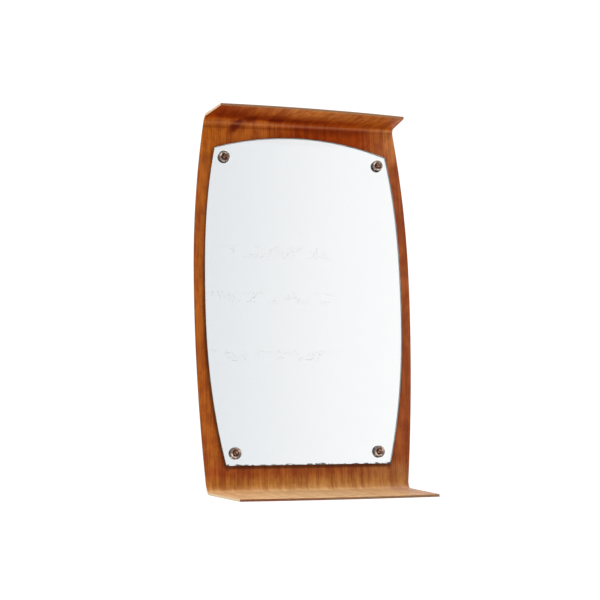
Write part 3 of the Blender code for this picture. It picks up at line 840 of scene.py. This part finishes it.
# %% [markdown]
# ## Nuts and washers behind the shell
# A pressed hexagon nut is chamfered on both faces, so its corners are rounded off in a curve. That curve
# appears by itself when a hexagonal bar is crossed with a turned blank that has the chamfer and the bore.

# %% Nuts
NUT_BORE = 2.05 * MM
BORE_CHAMFER = 0.25 * MM
FACE_SHARE = 0.97
CHAMFER_SLOPE = 0.55


def nut_mesh(name, centre, size):
    flats, thick = size.x, size.y
    corner_radius = flats / sqrt(3)
    face_edge = flats / 2 * FACE_SHARE
    drop = (corner_radius - face_edge) * CHAMFER_SLOPE
    section = [
        (NUT_BORE + BORE_CHAMFER, 0), (face_edge, 0), (corner_radius, drop), (corner_radius, thick - drop),
        (face_edge, thick), (NUT_BORE + BORE_CHAMFER, thick), (NUT_BORE, thick - BORE_CHAMFER),
        (NUT_BORE, BORE_CHAMFER),
    ]
    blank = turned_mesh(name, section, end_of(centre, size, -1), 1, closed=True)
    bm = bmesh.new()
    bmesh.ops.create_cone(
        bm, cap_ends=True, segments=6, radius1=corner_radius, radius2=corner_radius, depth=thick * 1.5
    )
    bar = linked("hexagon_bar", mesh_from(bm, "hexagon_bar"))
    bar.matrix_world = Matrix.Translation(centre) @ Matrix.Rotation(pi / 2, 4, "X")
    return carve(blank, bar, "INTERSECT")


for corner in CORNERS:
    centre, size = middle("screw_nut_" + corner)
    mesh = nut_mesh("nut_" + corner, centre, size)
    crisp(mesh, 25)
    set_out("nut_" + corner, mesh, zinc, ["screw_nut_" + corner])
print("nuts:", [round(v / MM, 1) for v in size], "mm,", len(mesh.polygons), "faces")


# %% Flat washers under the nuts
WASHER_BORE = 2.3 * MM
WASHER_EDGE = 0.15 * MM


def flat_ring(outer, inner, thick, edge):
    return [
        (inner, edge), (inner + edge, 0), (outer - edge, 0), (outer, edge),
        (outer, thick - edge), (outer - edge, thick), (inner + edge, thick), (inner, thick - edge),
    ]


for corner in CORNERS:
    centre, size = middle("back_washer_" + corner)
    section = flat_ring(size.x / 2, WASHER_BORE, size.y, WASHER_EDGE)
    mesh = turned_mesh("washer_" + corner, section, end_of(centre, size, -1), 1, closed=True)
    crisp(mesh, 50)
    set_out("washer_" + corner, mesh, zinc, ["back_washer_" + corner])

# %% [markdown]
# ## Hanger plates and their screws
# The keyhole hangers are stamped from zinc plated steel. Stamping leaves a rounded edge on one side, so
# a small bevel on the measured plate is enough. Their wood screws are pan heads with a slot.

# %% Hanger plates
for side in SIDES:
    plate = eased_copy("hanger_" + side, "hanger_plate_" + side, zinc, 0.18)
print("hanger plates:", len(plate.data.polygons), "faces each")

# %% Wood screws
PAN_RADIUS = 2.8 * MM
PAN_HEIGHT = 1.4 * MM
PAN_ROUNDING = 0.9 * MM
PAN_EDGE = 0.2 * MM
WOOD_SHANK = 1.3 * MM
WOOD_TURNS = 4
PAN_SLOT_WIDTH, PAN_SLOT_DEPTH = 0.6 * MM, 0.7 * MM
FIRST_SLOT_TURN, NEXT_SLOT_TURN = 25, 47


def pan_section(length):
    """From the point in the wood to the top of the pan head."""
    under_head = length - PAN_HEIGHT
    shank = [(0, 0), (WOOD_SHANK * 0.55, under_head * 0.18)]
    for turn in range(WOOD_TURNS):
        height = under_head * (0.25 + 0.65 * turn / WOOD_TURNS)
        shank += [(WOOD_SHANK, height), (WOOD_SHANK * 0.72, height + under_head * 0.06)]
    shank.append((WOOD_SHANK, under_head))
    middle_of_arc = (PAN_RADIUS - PAN_ROUNDING, under_head + PAN_EDGE)
    head = arc(middle_of_arc, (PAN_ROUNDING, PAN_HEIGHT - PAN_EDGE), 0, 90, 6)
    return shank + [(PAN_RADIUS, under_head)] + head + [(0, length)]


for number, (side, end) in enumerate((s, e) for s in SIDES for e in ("outer", "inner")):
    node = f"hanger_screw_{side}_{end}"
    centre, size = middle(node)
    blank = turned_mesh(node, pan_section(size.y), end_of(centre, size, -1), 1)
    turn = FIRST_SLOT_TURN + NEXT_SLOT_TURN * number
    saw = saw_blade(3 * PAN_RADIUS, PAN_SLOT_WIDTH, PAN_SLOT_DEPTH, end_of(centre, size, 1), turn)
    mesh = carve(blank, saw)
    crisp(mesh)
    set_out(f"wood_screw_{side}_{end}", mesh, zinc, [node])
print("wood screws:", round(size.y / MM, 1), "mm long")


# %% [markdown]
# ## Soft parts
# Soft vinyl sleeves and spacers keep metal and wood off the glass. Two felt pads near the shelf keep the
# shell off the wall. Felt has no clean edge: short fibres stand out of it, which a fine noise in the
# mesh and in the bump gives.

# %% Soft vinyl
def soft_vinyl():
    material, tree, place = begin("soft_vinyl_moulded")
    lumps = cloud(tree, place, 3, 3.0)
    tone = ramp(tree, lumps, (0.35, "#6E6A62"), (0.65, "#8A867C"))
    finish_with(tree, {"Base Color": tone, "Roughness": 0.6, "Normal": bumps(tree, lumps, 0.2, 0.05)})
    return material


vinyl = soft_vinyl()
for corner in CORNERS:
    assign("hole_sleeve_" + corner, vinyl)
    assign("spacer_" + corner, vinyl)


# %% Felt pads
HAIR_SIZE = 0.4 * MM
FELT_EDGE = 0.9 * MM
FUZZ_REACH = 0.2 * MM
FUZZ_SIZE = 1.4 * MM
FUZZ_HEIGHT = 0.3 * MM
WALL_RINGS = 5


def wool_felt():
    material, tree, place = begin("wool_felt_pressed")
    inputs = {"Vector": place, "Scale": 1 / HAIR_SIZE, "Detail": 6.0, "Distortion": 1.5}
    hair = add(tree, "TexNoise", inputs).outputs["Fac"]
    tone = ramp(tree, hair, (0.30, "#2A2119"), (0.55, "#463A2D"), (0.75, "#635443"))
    finish_with(tree, {
        "Base Color": tone, "Roughness": 0.95, "Specular IOR Level": 0.1, "Sheen Weight": 0.4,
        "Normal": bumps(tree, hair, 0.8, 0.3),
    })
    return material


felt = wool_felt()
for side in SIDES:
    centre, size = middle("wall_pad_" + side)
    radius = size.x / 2 - FUZZ_REACH
    wall = [(radius, size.y * ring / (WALL_RINGS + 1)) for ring in range(1, WALL_RINGS + 1)]
    crown = arc((radius - FELT_EDGE, size.y - FELT_EDGE), (FELT_EDGE, FELT_EDGE), 0, 90, 4)
    top = [(radius * share, size.y) for share in (0.65, 0.35)]
    section = [(0, 0), (radius, 0)] + wall[:-1] + crown + top + [(0, size.y)]
    mesh = turned_mesh("felt_" + side, section, end_of(centre, size, -1), 1)
    pad = set_out("felt_" + side, mesh, felt, ["wall_pad_" + side])
    fuzz = bpy.data.textures.new("felt_fuzz_" + side, "CLOUDS")
    fuzz.noise_scale = FUZZ_SIZE
    lump = pad.modifiers.new("fuzz", "DISPLACE")
    lump.texture = fuzz
    lump.texture_coords = "GLOBAL"
    lump.strength = FUZZ_HEIGHT
    lump.mid_level = 0.9
print("felt pads:", round(size.x / MM, 1), "mm across")


# %% [markdown]
# ## Floor, light and camera
# The mirror hangs at head height over a plain pale floor. The room is plain and white, so that the
# mirror shows only soft light, a little dimmer on the left. One broad lamp high at the front gives the
# shelf its light and the panel its shade under the canopy. A weaker one near the floor lifts the shade
# under the canopy, and a small one at the right gives the washers their bright crescents.

# %% Floor
FLOOR_Z = -1.35
FLOOR_HALF = 3.0


def painted_floor():
    material, tree, place = begin("floor_matt_pale_paint")
    tone = ramp(tree, cloud(tree, place, 500, 5.0), (0.35, "#E9E8E5"), (0.65, "#F1F0EE"))
    finish_with(tree, {"Base Color": tone, "Roughness": 0.8})
    return material


floor_mesh = bpy.data.meshes.new("studio_floor")
floor_corners = [(FLOOR_HALF * x, FLOOR_HALF * y, FLOOR_Z) for x, y in ((-1, -1), (1, -1), (1, 1), (-1, 1))]
floor_mesh.from_pydata(floor_corners, [], [(0, 1, 2, 3)])
floor_mesh.materials.append(painted_floor())
floor = linked("studio_floor", floor_mesh)


# %% Room light
def room_light():
    world = bpy.data.worlds.new("white_room")
    scene.world = world
    world.use_nodes = True
    tree = world.node_tree
    tree.nodes.clear()
    axes = split(tree, add(tree, "TexCoord").outputs["Generated"])
    in_front = between(tree, axes["Y"], -0.05, -0.55)
    to_right = between(tree, axes["X"], 0.10, 0.42)
    front = blend(tree, to_right, colour("#DADEE2"), colour("#FAFBFB"))
    light = blend(tree, in_front, colour("#FFFFFF"), front)
    background = add(tree, "Background", {"Color": light, "Strength": 1.1})
    add(tree, "OutputWorld", {"Surface": background.outputs[0]})


room_light()


# %% Soft lamp
def soft_lamp(name, at, aim, size, watts, tint):
    lamp = bpy.data.lights.new(name, "AREA")
    lamp.shape = "SQUARE"
    lamp.size = size
    lamp.energy = watts
    lamp.color = colour(tint)[:3]
    holder = linked(name, lamp)
    holder.location = at
    holder.rotation_euler = (Vector(aim) - Vector(at)).to_track_quat("-Z", "Y").to_euler()


soft_lamp("key_lamp", (0.7, -1.9, 1.9), (0, 0, 0), 1.3, 24, "#FFF8F0")
soft_lamp("low_fill", (-0.3, -1.8, -0.9), (0, 0, 0.3), 1.2, 14, "#FFF6EC")
soft_lamp("side_lamp", (1.55, -1.40, 0.36), (0, 0, 0), 0.9, 12, "#FFFAF8")

# %% [markdown]
# The camera stands low and to the left, and looks slightly up. Its turn, tilt and lean are three angles,
# and its place follows by stepping back from the point it aims at.

# %% Camera
TURN, TILT, LEAN = radians(16.238), radians(10.494), radians(-1.536)
AIM = Vector((-0.00927, FACE_Y, 0.00193))
DISTANCE = 1.95833
LENS = 66.0
FILM_WIDTH = 36.0

forward = Vector((sin(TURN) * cos(TILT), cos(TURN) * cos(TILT), sin(TILT)))
level_right = Vector((cos(TURN), -sin(TURN), 0))
level_up = level_right.cross(forward)
right = level_right * cos(LEAN) + level_up * sin(LEAN)
up = level_up * cos(LEAN) - level_right * sin(LEAN)
camera_data = bpy.data.cameras.new("camera")
camera_data.lens = LENS
camera_data.sensor_width = FILM_WIDTH
camera = linked("camera", camera_data)
camera.matrix_world = Matrix((right, up, -forward)).transposed().to_4x4()
camera.location = AIM - forward * DISTANCE
scene.camera = camera
scene.view_settings.view_transform = "Standard"
print("camera at", [round(v, 3) for v in camera.location])
